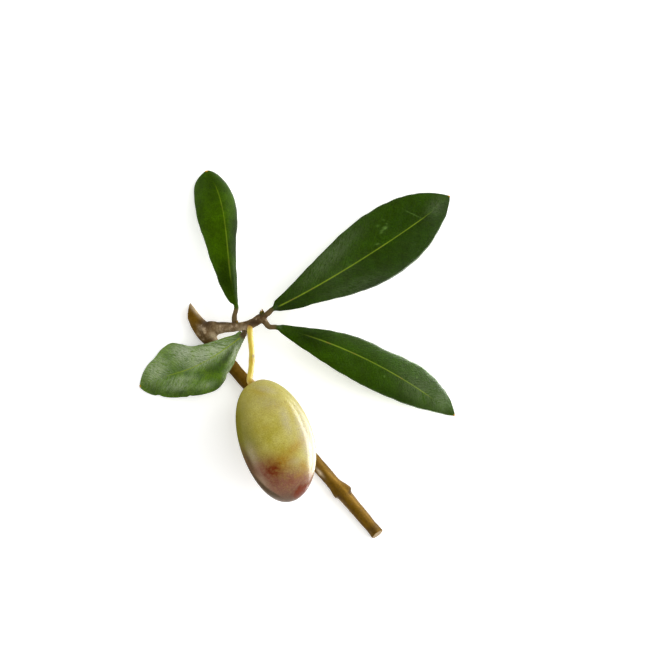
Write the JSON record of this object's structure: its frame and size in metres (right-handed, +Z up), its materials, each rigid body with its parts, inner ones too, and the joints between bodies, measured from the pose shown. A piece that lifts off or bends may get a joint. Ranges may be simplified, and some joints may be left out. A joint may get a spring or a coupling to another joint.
{
  "type": "olive branch",
  "caption": "Cut olive branch lying flat: woody stem with a side shoot, narrow leaves on petioles, and an olive hanging on its stalk.",
  "frame": {"origin": "on the surface that the branch lies on, below the middle of its outline seen from above", "axes": "+Z up, away from the surface; +Y along the branch's longest extent, towards the tip of the upper left leaf; +X to the right seen from above"},
  "size_m": [0.0802, 0.0933, 0.0219],
  "materials": {
    "bark": "dry, slightly rough bark, ochre brown on the stem and grey brown on the shoot",
    "leaf": "waxy dark green, satin",
    "stalk": "smooth yellow green, satin",
    "fruit_skin": "smooth waxy skin, yellow green turning purple brown at the free end"
  },
  "bodies": {
    "root": {"stem": "bark", "leaf_upper_left": "leaf", "leaf_upper_right": "leaf", "leaf_lower_right": "leaf", "leaf_lower_left": "leaf", "fruit_stalk": "stalk", "olive": "fruit_skin"}
  },
  "joints": []
}
